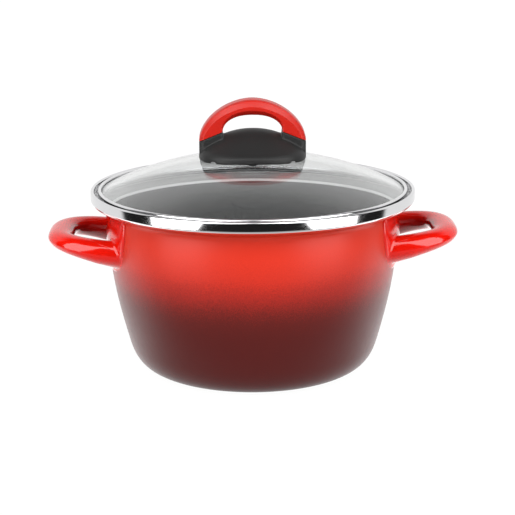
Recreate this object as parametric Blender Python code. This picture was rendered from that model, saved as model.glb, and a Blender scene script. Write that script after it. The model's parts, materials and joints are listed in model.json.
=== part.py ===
"""Two-handled enamelled pot with a glass lid, built as separate closed solids.

All lengths are metres, +Z is up and the pot stands on Z = 0 with its axis on the Z axis.
The handles point along X. Every sub-part is one object; the lid's pieces share the lid's axis.
"""
import math

import bmesh
import bpy

# ---- driving dimensions -------------------------------------------------------------------
GAP = 0.0003                    # clearance kept between neighbouring pieces
ROUND_STEPS = 60                # facets around the pot and the lid
SMALL_STEPS = 24                # facets around the lid's hardware

# pot shell
RIM_TOP = 0.1272                # height of the rim band's upper edge
NECK_HEIGHT = 0.1118            # where the wall turns out into the lid seat
NECK_RADIUS = 0.0990
NECK_LEAN = math.radians(-3.0)  # the wall still leans slightly inwards below the neck
HEEL_HEIGHT = 0.0213            # where the wall turns into the rounded bottom corner
HEEL_RADIUS = 0.0862
HEEL_LEAN = math.radians(15.8)
BASE_RADIUS = 0.0542            # outer edge of the flat ring the pot stands on
WALL_PULL = 0.36                # handle lengths of the wall's cubic curve, per span
HEEL_PULL = (0.42, 0.50)
RECESS_RADIUS = 0.044           # the bottom's middle is drawn up a little
RECESS_DEPTH = 0.0008
WALL = 0.0016
LIP_WALL = 0.0010
LIP_RADIUS = 0.11025            # outer face of the upright lip inside the rim band
SEAT_HEIGHT = 0.1196            # where the seat turns up into the lip

# stainless rim band
BAND_RADIUS = 0.1110
BAND_SHEET = 0.00045
BAND_OUTER_HEIGHT = 0.0074
BAND_INNER_HEIGHT = 0.0052

# lid
LID_BAND_RADIUS = 0.1060
LID_BAND_SHEET = 0.0005
LID_BAND_TOP = RIM_TOP + 0.0006
LID_BAND_LIP = 0.1037           # inner edge of the band's top lip
LID_BAND_FOOT = 0.1190
GLASS_RADIUS = 0.1050
GLASS_APEX = 0.1498
GLASS_SPHERE = 0.2380
GLASS_THICK = 0.0040
GLASS_HOLE = 0.0050

# knob
KNOB_HALF_X = 0.0362
KNOB_HALF_Y = 0.0310
KNOB_POWER = 2.4                # superellipse exponent of the foot's outline
KNOB_END = 0.0356               # the foot's blunt ends stop here
KNOB_SKIRT = 0.0048             # upright side wall of the foot
KNOB_CREST = 0.1677
KNOB_CREST_SIDE = 0.1628        # crest height where the legs begin
LEG_INNER = 0.0200
LEG_INNER_TOP = 0.1668
LEG_OUTER_TOP = 0.1602
LEG_HALF_DEPTH = 0.0098
ARCH_TOP = 0.1882
ARCH_GAP_TOP = 0.1779
ARCH_POWERS = (1.08, 1.15, 0.85)  # outer x, outer height, inner x against a plain ellipse
ARCH_HALF_DEPTH = 0.0100
ARCH_BEVEL = 0.0042

# knob hardware
BOSS_RADIUS = 0.0080
INSERT_RADIUS = 0.0042
INSERT_LENGTH = 0.0090
SCREW_RADIUS = 0.0024
SCREW_HEAD_RADIUS = 0.0046
SCREW_HEAD_HEIGHT = 0.0026
WASHER_RADIUS = 0.0100
WASHER_THICK = 0.0010
GASKET_RADIUS = 0.0108
GASKET_THICK = 0.0012
ARCH_SCREW_X = 0.0265
ARCH_SCREW_RADIUS = 0.0015
ARCH_SCREW_HEAD = 0.0030
ARCH_SCREW_TOP = 0.1705

# handles
HANDLE_TIP = 0.1404
BOW_HALF_WIDTH = 0.0088
BOW_HALF_HEIGHT = (0.0092, 0.0056)   # at the wall, at the tip
BOW_HEIGHT = (0.0889, 0.0966)        # centre height at the wall, at the tip
BOW_RISE = 0.8                       # below 1 the height is gained nearer the wall
BOW_LIFT = 0.0007                    # right bow sits this much high, left bow this much low
BOW_HALF_SPAN = 0.0352
BOW_ROOT_X = 0.0950
BOW_POWERS = (2.35, 3.33)            # superellipse powers along x and y
BOW_SHEET = 0.0014
BOW_FLARE = 1.08                     # how much the ends open into the saddle
SADDLE_SHEET = 0.0015
SADDLE_HALF_ANGLE = math.radians(31.2)   # the plate's outline is a squared half oval
SADDLE_DROP = 0.0435                     # height of that half oval, below its centre
SADDLE_POWER = 2.6
SADDLE_CENTRE = 0.1150
SADDLE_LOW = 0.0755                      # its lower end is cut straight here
SADDLE_HIGH = 0.1148
SADDLE_END = 0.0060                      # height left at the plate's two ends


# ---- materials ----------------------------------------------------------------------------
def make_material(name, colour, roughness, metallic=0.0):
    """One Principled material with a plain colour."""
    material = bpy.data.materials.new(name)
    material.use_nodes = True
    shader = material.node_tree.nodes["Principled BSDF"]
    shader.inputs["Base Color"].default_value = (*colour, 1.0)
    shader.inputs["Roughness"].default_value = roughness
    shader.inputs["Metallic"].default_value = metallic
    material.diffuse_color = (*colour, 1.0)
    return material


def body_enamel():
    """Satin red enamel of the pot's body."""
    return make_material("body_enamel", (0.60, 0.03, 0.02), 0.35)


def handle_enamel():
    """Glossy red enamel of the welded handles."""
    return make_material("handle_enamel", (0.70, 0.02, 0.01), 0.12)


def rim_steel():
    """Polished stainless steel of the rim and lid bands."""
    return make_material("rim_steel", (0.75, 0.75, 0.76), 0.15, 1.0)


def lid_glass_finish():
    """Tempered lid glass."""
    return make_material("lid_glass", (0.80, 0.86, 0.85), 0.05)


def knob_black():
    """Satin black moulded plastic."""
    return make_material("knob_black", (0.03, 0.03, 0.03), 0.5)


def knob_red():
    """Soft-touch red moulded plastic."""
    return make_material("knob_red", (0.65, 0.05, 0.03), 0.55)


def brass():
    """Turned brass of the threaded insert."""
    return make_material("brass", (0.72, 0.52, 0.22), 0.3, 1.0)


def screw_steel():
    """Stainless steel of the screws and the washer."""
    return make_material("screw_steel", (0.60, 0.60, 0.61), 0.25, 1.0)


def silicone():
    """Grey silicone of the gaskets."""
    return make_material("silicone", (0.35, 0.35, 0.35), 0.6)


# ---- mesh helpers -------------------------------------------------------------------------
def finish(name, bm, material, flat_angle=math.radians(35.0)):
    """Turn a closed bmesh into a named object with outward normals."""
    bmesh.ops.recalc_face_normals(bm, faces=bm.faces)
    mesh = bpy.data.meshes.new(name)
    bm.to_mesh(mesh)
    bm.free()
    mesh.materials.append(material)
    mesh.shade_smooth()
    mesh.set_sharp_from_angle(angle=flat_angle)
    obj = bpy.data.objects.new(name, mesh)
    bpy.context.scene.collection.objects.link(obj)
    return obj


def skin(bm, first, second, closed=True):
    """Join two rows of vertices with quads; a single vertex makes a fan."""
    count = max(len(first), len(second))
    steps = count if closed else count - 1
    for i in range(steps):
        j = (i + 1) % count
        if len(first) == 1:
            bm.faces.new((first[0], second[i], second[j]))
        elif len(second) == 1:
            bm.faces.new((first[i], first[j], second[0]))
        else:
            bm.faces.new((first[i], first[j], second[j], second[i]))


def turned(name, profile, material, steps=ROUND_STEPS, centre=(0.0, 0.0)):
    """Solid of revolution: profile is a loop of (radius, height); radius 0 lies on the axis."""
    bm = bmesh.new()
    rows = []
    for radius, height in profile:
        row = []
        for k in range(steps if radius > 0.0 else 1):
            angle = 2.0 * math.pi * k / steps
            x = centre[0] + radius * math.cos(angle)
            y = centre[1] + radius * math.sin(angle)
            row.append(bm.verts.new((x, y, height)))
        rows.append(row)
    for i, row in enumerate(rows):
        following = rows[(i + 1) % len(rows)]
        if len(row) > 1 or len(following) > 1:
            skin(bm, row, following)
    return finish(name, bm, material)


def lofted(name, rings, material, flat_angle=math.radians(35.0)):
    """Solid through a list of equal rings, with a flat cap at both ends."""
    bm = bmesh.new()
    rows = [[bm.verts.new(point) for point in ring] for ring in rings]
    for first, second in zip(rows, rows[1:]):
        skin(bm, first, second)
    bm.faces.new(rows[0])
    bm.faces.new(rows[-1])
    return finish(name, bm, material, flat_angle)


def cut_away(target, cutters):
    """Subtract each cutter from the target, then remove the cutter."""
    for cutter in cutters:
        cutter.hide_render = True
        cutter.display_type = "WIRE"
        modifier = target.modifiers.new("cut", "BOOLEAN")
        modifier.operation = "DIFFERENCE"
        modifier.solver = "EXACT"
        modifier.object = cutter
        graph = bpy.context.evaluated_depsgraph_get()
        mesh = bpy.data.meshes.new_from_object(target.evaluated_get(graph))
        target.modifiers.remove(modifier)
        target.data = mesh
        bpy.data.objects.remove(cutter)
    target.data.set_sharp_from_angle(angle=math.radians(35.0))
    return target


def cubic(start, lead, trail, end, steps):
    """Points of a cubic curve in the (radius, height) plane."""
    points = []
    for i in range(steps + 1):
        t = i / steps
        weights = ((1 - t) ** 3, 3 * t * (1 - t) ** 2, 3 * t * t * (1 - t), t ** 3)
        corners = (start, lead, trail, end)
        points.append(tuple(sum(w * c[k] for w, c in zip(weights, corners)) for k in (0, 1)))
    return points


def inset(points, distances):
    """Offset an open profile to its left-hand side by one distance per point."""
    result = []
    for i, (r, z) in enumerate(points):
        before = points[max(i - 1, 0)]
        after = points[min(i + 1, len(points) - 1)]
        dr = after[0] - before[0]
        dz = after[1] - before[1]
        length = math.hypot(dr, dz)
        result.append((r - distances[i] * dz / length, z + distances[i] * dr / length))
    return result


# ---- pot shell ----------------------------------------------------------------------------
def outer_profile(wall_steps=7, heel_steps=6, seat_steps=5):
    """Outer face of the shell from the flat ring up to the lip's top edge."""
    base = (BASE_RADIUS, 0.0)
    heel = (HEEL_RADIUS, HEEL_HEIGHT)
    neck = (NECK_RADIUS, NECK_HEIGHT)
    heel_down = (-math.sin(HEEL_LEAN), -math.cos(HEEL_LEAN))
    neck_down = (-math.sin(NECK_LEAN), -math.cos(NECK_LEAN))
    heel_span = math.dist(base, heel)
    wall_span = math.dist(heel, neck)
    lead = (base[0] + HEEL_PULL[1] * heel_span, 0.0)
    trail = tuple(heel[k] + HEEL_PULL[0] * heel_span * heel_down[k] for k in (0, 1))
    points = cubic(base, lead, trail, heel, heel_steps)
    lead = tuple(heel[k] - WALL_PULL * wall_span * heel_down[k] for k in (0, 1))
    trail = tuple(neck[k] + WALL_PULL * wall_span * neck_down[k] for k in (0, 1))
    points += cubic(heel, lead, trail, neck, wall_steps)[1:]
    seat_out = (LIP_RADIUS, SEAT_HEIGHT + 0.0012)
    lead = (NECK_RADIUS, NECK_HEIGHT + 0.0068)
    trail = (LIP_RADIUS, SEAT_HEIGHT - 0.0034)
    points += cubic(neck, lead, trail, seat_out, seat_steps)[1:]
    points.append((LIP_RADIUS, RIM_TOP - BAND_SHEET - GAP))
    return points


def wall_radius(height):
    """Radius of the shell's outer face at a height, read off the profile."""
    points = outer_profile()
    for (r0, z0), (r1, z1) in zip(points, points[1:]):
        if z0 <= height <= z1 and z1 > z0:
            return r0 + (r1 - r0) * (height - z0) / (z1 - z0)
    return NECK_RADIUS


def build_pot_shell():
    """Drawn and enamelled steel shell with its turned-out lid seat and upright lip."""
    outer = outer_profile()
    thickness = []
    for _, height in outer:
        blend = min(max((height - NECK_HEIGHT) / (SEAT_HEIGHT - NECK_HEIGHT), 0.0), 1.0)
        thickness.append(WALL + (LIP_WALL - WALL) * blend)
    inner = inset(outer, thickness)
    inner[-1] = (outer[-1][0] - LIP_WALL, outer[-1][1])
    middle = [(0.0, RECESS_DEPTH), (RECESS_RADIUS, RECESS_DEPTH), (RECESS_RADIUS + 0.003, 0.0)]
    inside_middle = [(RECESS_RADIUS, RECESS_DEPTH + WALL), (0.0, RECESS_DEPTH + WALL)]
    profile = middle + outer + list(reversed(inner)) + inside_middle
    return turned("pot_shell", profile, body_enamel())


def build_rim_band():
    """Rolled stainless channel pressed over the enamelled lip."""
    outside = BAND_RADIUS
    inside = LIP_RADIUS - LIP_WALL - GAP - BAND_SHEET
    crown = 0.0004
    low_outer = RIM_TOP - BAND_OUTER_HEIGHT
    low_inner = RIM_TOP - BAND_INNER_HEIGHT
    profile = [
        (outside, low_outer),
        (outside, RIM_TOP - crown),
        (outside - crown, RIM_TOP),
        (inside + crown, RIM_TOP),
        (inside, RIM_TOP - crown),
        (inside, low_inner),
        (inside + BAND_SHEET, low_inner),
        (inside + BAND_SHEET, RIM_TOP - BAND_SHEET),
        (outside - BAND_SHEET, RIM_TOP - BAND_SHEET),
        (outside - BAND_SHEET, low_outer),
    ]
    return turned("pot_rim_band", profile, rim_steel())


# ---- handles ------------------------------------------------------------------------------
def saddle_surface(angle, height, lift):
    """Point on the wall at an angle from the X axis, lifted off it."""
    radius = wall_radius(height) + lift
    return (radius * math.cos(angle), radius * math.sin(angle), height)


def build_saddle(name, side):
    """Pressed plate that follows the wall and carries both ends of the bow."""
    columns = 16
    rows = 6
    end_drop = (SADDLE_CENTRE - SADDLE_HIGH + SADDLE_END) / SADDLE_DROP
    widest = (1.0 - end_drop ** SADDLE_POWER) ** (1.0 / SADDLE_POWER)
    bm = bmesh.new()
    grids = []
    for lift in (GAP, GAP + SADDLE_SHEET):
        grid = []
        for i in range(columns + 1):
            share = math.sin((2.0 * i / columns - 1.0) * math.pi / 2.0) * widest
            angle = SADDLE_HALF_ANGLE * share
            drop = SADDLE_DROP * (1.0 - abs(share) ** SADDLE_POWER) ** (1.0 / SADDLE_POWER)
            low = max(SADDLE_CENTRE - drop, SADDLE_LOW)
            line = []
            for j in range(rows + 1):
                height = low + (SADDLE_HIGH - low) * j / rows
                x, y, z = saddle_surface(angle, height, lift)
                line.append(bm.verts.new((side * x, y, z)))
            grid.append(line)
        for first, second in zip(grid, grid[1:]):
            skin(bm, first, second, closed=False)
        grids.append(grid)
    near, far = grids
    edge_near = [line[0] for line in near] + near[-1][1:] + [line[-1] for line in near[-2::-1]]
    edge_near += near[0][-2:0:-1]
    edge_far = [line[0] for line in far] + far[-1][1:] + [line[-1] for line in far[-2::-1]]
    edge_far += far[0][-2:0:-1]
    skin(bm, edge_near, edge_far)
    return finish(name, bm, handle_enamel())


def bow_station(t):
    """Centre, sideways direction and half height of the bow at t in -1..1."""
    turn = t * math.pi / 2.0
    cosine = max(math.cos(turn), 0.0)
    sine = math.sin(turn)
    reach = HANDLE_TIP - BOW_HALF_WIDTH - BOW_ROOT_X
    x = BOW_ROOT_X + reach * cosine ** (2.0 / BOW_POWERS[0])
    y = BOW_HALF_SPAN * math.copysign(abs(sine) ** (2.0 / BOW_POWERS[1]), sine)
    rise = (x - BOW_ROOT_X) / reach
    height = BOW_HEIGHT[0] + (BOW_HEIGHT[1] - BOW_HEIGHT[0]) * rise ** BOW_RISE
    half_height = BOW_HALF_HEIGHT[0] + (BOW_HALF_HEIGHT[1] - BOW_HALF_HEIGHT[0]) * rise
    return x, y, height, half_height


def build_bow(name, side):
    """Hollow oval tube bent into a loop; both open ends are trimmed to the saddle."""
    stations = 22
    around = 14
    centres = [bow_station(2.0 * i / stations - 1.0) for i in range(stations + 1)]
    lift = side * BOW_LIFT
    bm = bmesh.new()
    skins = []
    for shrink in (0.0, BOW_SHEET):
        rows = []
        for i, (x, y, height, half_height) in enumerate(centres):
            before = centres[max(i - 1, 0)]
            after = centres[min(i + 1, stations)]
            ahead = (after[0] - before[0], after[1] - before[1])
            if i in (0, stations):
                ahead = (1.0 if i == 0 else -1.0, 0.0)
            length = math.hypot(*ahead)
            sideways = (ahead[1] / length, -ahead[0] / length)
            root = 1.0 - min(min(i, stations - i) / 2.0, 1.0)
            swell = 1.0 + (BOW_FLARE - 1.0) * root
            row = []
            for k in range(around):
                angle = 2.0 * math.pi * k / around
                wide = (BOW_HALF_WIDTH * swell - shrink) * math.cos(angle)
                tall = (half_height * swell - shrink) * math.sin(angle)
                px = x + wide * sideways[0]
                py = y + wide * sideways[1]
                pz = height + lift + tall
                if i in (0, stations):
                    seat = wall_radius(pz) + GAP + SADDLE_SHEET + GAP
                    px = math.sqrt(seat * seat - py * py)
                row.append(bm.verts.new((side * px, py, pz)))
            rows.append(row)
        for first, second in zip(rows, rows[1:]):
            skin(bm, first, second)
        skins.append(rows)
    outer, inner = skins
    skin(bm, outer[0], inner[0])
    skin(bm, outer[-1], inner[-1])
    return finish(name, bm, handle_enamel(), math.radians(50.0))


# ---- lid ----------------------------------------------------------------------------------
def dome(radius, offset=0.0):
    """Height of the glass's outer face at a radius; offset moves to a concentric face."""
    ball = GLASS_SPHERE - offset
    centre = GLASS_APEX - GLASS_SPHERE
    return centre + math.sqrt(ball * ball - radius * radius)


def build_lid_glass():
    """Domed tempered disc with a hole for the knob's screw."""
    count = 7
    radii = [GLASS_HOLE + (GLASS_RADIUS - GLASS_HOLE) * i / count for i in range(count + 1)]
    top = [(r, dome(r)) for r in radii]
    bottom = [(r, dome(r, GLASS_THICK)) for r in reversed(radii)]
    return turned("lid_glass", top + bottom, lid_glass_finish())


def build_lid_band():
    """Stainless ring rolled over the glass edge; its hemmed skirt stands on the seat."""
    outer = LID_BAND_RADIUS
    sheet = LID_BAND_SHEET
    shelf_inner = LID_BAND_LIP
    shelf_top = dome(shelf_inner, GLASS_THICK) - GAP - 0.0006
    crown = 0.0006
    profile = [
        (outer - crown, LID_BAND_FOOT),
        (outer, LID_BAND_FOOT + crown),
        (outer, LID_BAND_TOP - crown),
        (outer - crown, LID_BAND_TOP),
        (LID_BAND_LIP + crown, LID_BAND_TOP),
        (LID_BAND_LIP, LID_BAND_TOP - crown),
        (LID_BAND_LIP, LID_BAND_TOP - crown - sheet),
        (outer - sheet, LID_BAND_TOP - crown - sheet),
        (outer - sheet, shelf_top),
        (shelf_inner, shelf_top),
        (shelf_inner, shelf_top - sheet),
        (outer - sheet - 0.0006, shelf_top - sheet),
        (outer - sheet - 0.0006, LID_BAND_FOOT),
    ]
    return turned("lid_band", profile, rim_steel())


# ---- knob ---------------------------------------------------------------------------------
def foot_half_depth(x):
    """Half depth of the knob's oval foot at x."""
    return KNOB_HALF_Y * (1.0 - (abs(x) / KNOB_HALF_X) ** KNOB_POWER) ** (1.0 / KNOB_POWER)


def joint_height(x):
    """Height of the sloping joint between the black legs and the red arch."""
    share = (abs(x) - LEG_INNER) / (KNOB_HALF_X - LEG_INNER)
    return LEG_INNER_TOP + (LEG_OUTER_TOP - LEG_INNER_TOP) * share


def crest_height(x):
    """Height of the foot's ridge between the legs."""
    share = abs(x) / LEG_INNER
    return KNOB_CREST - (KNOB_CREST - KNOB_CREST_SIDE) * (1.0 - math.cos(share * math.pi / 2.0))


def foot_section(x, is_leg):
    """Half of the foot's outline at x, from the underside's middle to the crest."""
    depth = foot_half_depth(x)
    clear = 0.0004
    half = []
    for share in (0.0, 0.55, 1.0):
        y = depth * share
        half.append((y, dome(math.hypot(x, y)) + clear))
    shoulder = half[-1][1] + KNOB_SKIRT
    half.append((depth * 0.985, shoulder))
    if is_leg:
        top = joint_height(x)
        leg = min(LEG_HALF_DEPTH, depth * 0.9)
        waist = shoulder + 0.35 * (top - shoulder)
        half.append((leg + 0.5 * (depth - leg), shoulder + 0.12 * (top - shoulder)))
        half.append((leg + 0.1 * (depth - leg), waist))
        half.append((leg, top - 0.0004))
        half.append((leg - 0.0006, top))
    else:
        top = crest_height(x)
        for share in (0.80, 0.58, 0.38, 0.18):
            bulge = (1.0 - share ** 2.0) ** 0.8
            half.append((depth * share, shoulder + (top - shoulder) * bulge))
    half.append((0.0, top))
    return half


def foot_ring(x, is_leg):
    """Full closed outline of the foot at x."""
    half = foot_section(x, is_leg)
    right = [(x, y, z) for y, z in half]
    left = [(x, -y, z) for y, z in reversed(half[1:-1])]
    return right + left


def knob_cavity(name):
    """Cutter that hollows the foot around its central boss."""
    bm = bmesh.new()
    rows = []
    low = dome(0.03) - 0.010
    high = 0.1550
    for height in (low, high):
        for half_x, half_y in ((0.0205, 0.0245), (BOSS_RADIUS, BOSS_RADIUS)):
            ring = []
            for k in range(SMALL_STEPS):
                angle = 2.0 * math.pi * k / SMALL_STEPS
                ring.append(bm.verts.new((half_x * math.cos(angle), half_y * math.sin(angle), height)))
            rows.append(ring)
    skin(bm, rows[0], rows[2])
    skin(bm, rows[1], rows[3])
    skin(bm, rows[0], rows[1])
    skin(bm, rows[2], rows[3])
    return finish(name, bm, knob_black())


def arch_screw_profile(clearance):
    """Profile of a countersunk-from-below screw, grown by a clearance."""
    head_low = dome(ARCH_SCREW_X) + 0.0010
    head_high = head_low + 0.0022
    return [
        (0.0, head_low - (0.010 if clearance > 0.0 else 0.0)),
        (ARCH_SCREW_HEAD + clearance, head_low - (0.010 if clearance > 0.0 else 0.0)),
        (ARCH_SCREW_HEAD + clearance, head_high + clearance),
        (ARCH_SCREW_RADIUS + clearance, head_high + clearance),
        (ARCH_SCREW_RADIUS + clearance, ARCH_SCREW_TOP + clearance),
        (0.0, ARCH_SCREW_TOP + clearance),
    ]


def build_knob_base():
    """Moulded black foot: oval skirt, domed crest and two legs that carry the arch."""
    inner_stations = 7
    leg_stations = 4
    xs = [LEG_INNER * (-1.0 + 2.0 * i / (2 * inner_stations)) for i in range(2 * inner_stations + 1)]
    step = 0.0005
    rings = []
    legs = [LEG_INNER + step + (KNOB_END - LEG_INNER - step) * (i / leg_stations) for i in range(leg_stations + 1)]
    for x in reversed(legs):
        rings.append(foot_ring(-x, True))
    for x in xs:
        rings.append(foot_ring(x, False))
    for x in legs:
        rings.append(foot_ring(x, True))
    base = lofted("knob_base", rings, knob_black())
    insert_top = boss_foot() + INSERT_LENGTH + GAP
    bore = [
        (0.0, 0.130),
        (INSERT_RADIUS + GAP, 0.130),
        (INSERT_RADIUS + GAP, insert_top + 0.0004),
        (0.0, insert_top + 0.0004),
    ]
    face = [(0.0, 0.130), (BOSS_RADIUS + 0.004, 0.130), (BOSS_RADIUS + 0.004, boss_foot()), (0.0, boss_foot())]
    cutters = [
        knob_cavity("cavity"),
        turned("boss_face", face, knob_black(), SMALL_STEPS),
        turned("bore", bore, knob_black(), SMALL_STEPS),
    ]
    for side in (-1.0, 1.0):
        centre = (side * ARCH_SCREW_X, 0.0)
        cutters.append(turned("leg_hole", arch_screw_profile(GAP), knob_black(), 16, centre))
    return cut_away(base, cutters)


def boss_foot():
    """Height of the boss's underside, above the upper gasket."""
    return GLASS_APEX + GAP + GASKET_THICK + GAP


def arch_ring(t):
    """Closed section of the arch; t runs 0..1 from the left joint over the top to the right."""
    side = -1.0 if t < 0.5 else 1.0
    climb = 1.0 - abs(2.0 * t - 1.0)
    turn = climb * math.pi / 2.0
    outer_low = LEG_OUTER_TOP + GAP
    inner_low = LEG_INNER_TOP + GAP
    outer_x = (KNOB_HALF_X + 0.0001) * math.cos(turn) ** ARCH_POWERS[0]
    outer_z = outer_low + (ARCH_TOP - outer_low) * math.sin(turn) ** ARCH_POWERS[1]
    inner_x = (LEG_INNER + 0.0002) * math.cos(turn) ** ARCH_POWERS[2]
    inner_z = inner_low + (ARCH_GAP_TOP - inner_low) * math.sin(turn)
    depth = ARCH_HALF_DEPTH
    bevel = ARCH_BEVEL
    span = math.hypot(outer_x - inner_x, outer_z - inner_z)
    outline = [
        (0.0, depth - 0.0030),
        (0.0012, depth - 0.0012),
        (0.0035, depth),
        (span - bevel * 1.25, depth),
        (span - bevel * 0.35, depth - bevel * 0.55),
        (span, depth - bevel * 1.30),
    ]
    outline = outline + [(u, -v) for u, v in reversed(outline)]
    ring = []
    for u, v in outline:
        share = u / span
        x = inner_x + (outer_x - inner_x) * share
        z = inner_z + (outer_z - inner_z) * share
        ring.append((side * x, v, z))
    return ring


def build_knob_arch():
    """Red bridge that the hand holds, seated on the sloping tops of the legs."""
    steps = 22
    rings = [arch_ring(i / steps) for i in range(steps + 1)]
    arch = lofted("knob_arch", rings, knob_red())
    cutters = []
    for side in (-1.0, 1.0):
        centre = (side * ARCH_SCREW_X, 0.0)
        cutters.append(turned("arch_hole", arch_screw_profile(GAP), knob_red(), 16, centre))
    return cut_away(arch, cutters)


def build_arch_screw(name, side):
    """Hidden self-tapping screw from the foot up into one leg of the arch."""
    centre = (side * ARCH_SCREW_X, 0.0)
    return turned(name, arch_screw_profile(0.0), screw_steel(), 16, centre)


# ---- knob hardware ------------------------------------------------------------------------
def ring_profile(inner, outer, low, high):
    """Rectangular section of a flat ring."""
    return [(inner, low), (outer, low), (outer, high), (inner, high)]


def glass_underside():
    """Lowest height of the glass around its hole, under the gasket's edge."""
    return dome(GASKET_RADIUS, GLASS_THICK)


def build_upper_gasket():
    """Silicone ring between the glass and the boss."""
    low = GLASS_APEX + GAP
    profile = ring_profile(SCREW_RADIUS + GAP, GASKET_RADIUS, low, low + GASKET_THICK)
    return turned("upper_gasket", profile, silicone(), SMALL_STEPS)


def build_lower_gasket():
    """Silicone ring under the glass."""
    high = glass_underside() - GAP
    profile = ring_profile(SCREW_RADIUS + GAP, GASKET_RADIUS, high - GASKET_THICK, high)
    return turned("lower_gasket", profile, silicone(), SMALL_STEPS)


def washer_low():
    """Underside of the screw's washer."""
    return glass_underside() - 2.0 * GAP - GASKET_THICK - WASHER_THICK


def build_screw_washer():
    """Stainless washer that spreads the screw's load."""
    profile = ring_profile(SCREW_RADIUS + GAP, WASHER_RADIUS, washer_low(), washer_low() + WASHER_THICK)
    return turned("screw_washer", profile, screw_steel(), SMALL_STEPS)


def build_knob_insert():
    """Brass insert moulded into the boss."""
    low = boss_foot() + GAP
    profile = ring_profile(SCREW_RADIUS + GAP, INSERT_RADIUS, low, low + INSERT_LENGTH - GAP)
    return turned("knob_insert", profile, brass(), SMALL_STEPS)


def build_knob_screw():
    """Pan-head screw that clamps the knob through the glass."""
    head_high = washer_low() - GAP
    head_low = head_high - SCREW_HEAD_HEIGHT
    tip = boss_foot() + INSERT_LENGTH - 0.0010
    profile = [
        (0.0, head_low),
        (SCREW_HEAD_RADIUS * 0.55, head_low + 0.0003),
        (SCREW_HEAD_RADIUS * 0.88, head_low + 0.0010),
        (SCREW_HEAD_RADIUS, head_high),
        (SCREW_RADIUS, head_high),
        (SCREW_RADIUS, tip - 0.0008),
        (SCREW_RADIUS - 0.0008, tip),
        (0.0, tip),
    ]
    screw = turned("knob_screw", profile, screw_steel(), SMALL_STEPS)
    slot = bmesh.new()
    bmesh.ops.create_cube(slot, size=1.0)
    bmesh.ops.scale(slot, verts=slot.verts, vec=(0.02, 0.0010, 0.0024))
    bmesh.ops.translate(slot, verts=slot.verts, vec=(0.0, 0.0, head_low))
    return cut_away(screw, [finish("slot", slot, screw_steel())])


# ---- build --------------------------------------------------------------------------------
def build_all():
    """Build every sub-part of the pot and its lid."""
    build_pot_shell()
    build_rim_band()
    for label, side in (("left", -1.0), ("right", 1.0)):
        build_saddle(f"{label}_handle_saddle", side)
        build_bow(f"{label}_handle_bow", side)
    build_lid_glass()
    build_lid_band()
    build_knob_base()
    build_knob_arch()
    for label, side in (("left", -1.0), ("right", 1.0)):
        build_arch_screw(f"arch_screw_{label}", side)
    build_knob_insert()
    build_upper_gasket()
    build_lower_gasket()
    build_screw_washer()
    build_knob_screw()


for existing in list(bpy.data.objects):
    bpy.data.objects.remove(existing)
build_all()
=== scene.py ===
# %% [markdown]
# # A two-handled enamelled pot with a glass lid
#
# This notebook dresses a finished CAD model for a studio picture. The CAD model fixes every size
# and place, so each piece here is made where its CAD solid already is and rides on the same body:
# the pot stands still and the lid lifts off. What is added is what makes such a pot look real: the
# sprayed enamel that fades from bright red to maroon, the rolled steel rims, thick tempered glass
# and a moulded knob.

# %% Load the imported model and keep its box
import json
import math

import bmesh
import bpy
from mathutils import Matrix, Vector

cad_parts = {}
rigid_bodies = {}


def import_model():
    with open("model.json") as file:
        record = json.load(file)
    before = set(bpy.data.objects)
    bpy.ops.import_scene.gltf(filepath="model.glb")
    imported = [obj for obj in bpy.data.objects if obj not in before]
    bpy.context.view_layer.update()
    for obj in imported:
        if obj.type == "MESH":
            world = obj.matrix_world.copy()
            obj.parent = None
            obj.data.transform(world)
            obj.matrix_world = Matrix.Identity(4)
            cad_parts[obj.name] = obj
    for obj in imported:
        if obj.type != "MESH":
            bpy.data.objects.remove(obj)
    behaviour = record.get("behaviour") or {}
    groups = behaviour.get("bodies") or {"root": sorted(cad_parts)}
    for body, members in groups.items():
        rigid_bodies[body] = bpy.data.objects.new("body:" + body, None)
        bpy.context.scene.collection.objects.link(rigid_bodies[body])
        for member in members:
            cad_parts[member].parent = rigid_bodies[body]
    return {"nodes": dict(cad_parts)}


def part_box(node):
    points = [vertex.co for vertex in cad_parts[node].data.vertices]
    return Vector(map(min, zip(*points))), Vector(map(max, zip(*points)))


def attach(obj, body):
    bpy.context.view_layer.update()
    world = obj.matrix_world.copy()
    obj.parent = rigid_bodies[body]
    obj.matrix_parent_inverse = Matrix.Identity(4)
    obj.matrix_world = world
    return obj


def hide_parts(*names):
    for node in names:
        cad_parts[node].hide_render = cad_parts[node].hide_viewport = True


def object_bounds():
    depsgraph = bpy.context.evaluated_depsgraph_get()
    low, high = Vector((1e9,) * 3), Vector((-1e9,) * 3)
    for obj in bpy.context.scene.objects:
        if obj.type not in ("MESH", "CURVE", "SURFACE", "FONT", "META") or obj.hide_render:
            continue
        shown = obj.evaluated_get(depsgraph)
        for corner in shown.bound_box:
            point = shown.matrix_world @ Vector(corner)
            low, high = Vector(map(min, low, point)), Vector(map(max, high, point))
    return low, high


for leftover in list(bpy.data.objects):
    bpy.data.objects.remove(leftover)
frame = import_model()
cad_low, cad_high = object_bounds()
print("CAD box in mm:", [round(1000 * (b - a), 1) for a, b in zip(cad_low, cad_high)])

# %% [markdown]
# ## The camera
#
# A catalogue picture of a pot is taken with a long lens from a little over a metre, so the round
# rim stays a calm ellipse. The camera stands almost straight in front, slightly to the left, and
# looks down about fourteen degrees: enough to see the glass and the dark inside of the pot.

# %% Place the camera
CAMERA_DISTANCE = 1.2
CAMERA_ELEVATION = math.radians(14.13)
CAMERA_AZIMUTH = math.radians(-1.2)
CAMERA_ROLL = math.radians(0.33)
AIM_HEIGHT = 0.0769
AIM_SIDEWAYS = 0.0030
LENS = 120.9
SENSOR = 36.0

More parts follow.
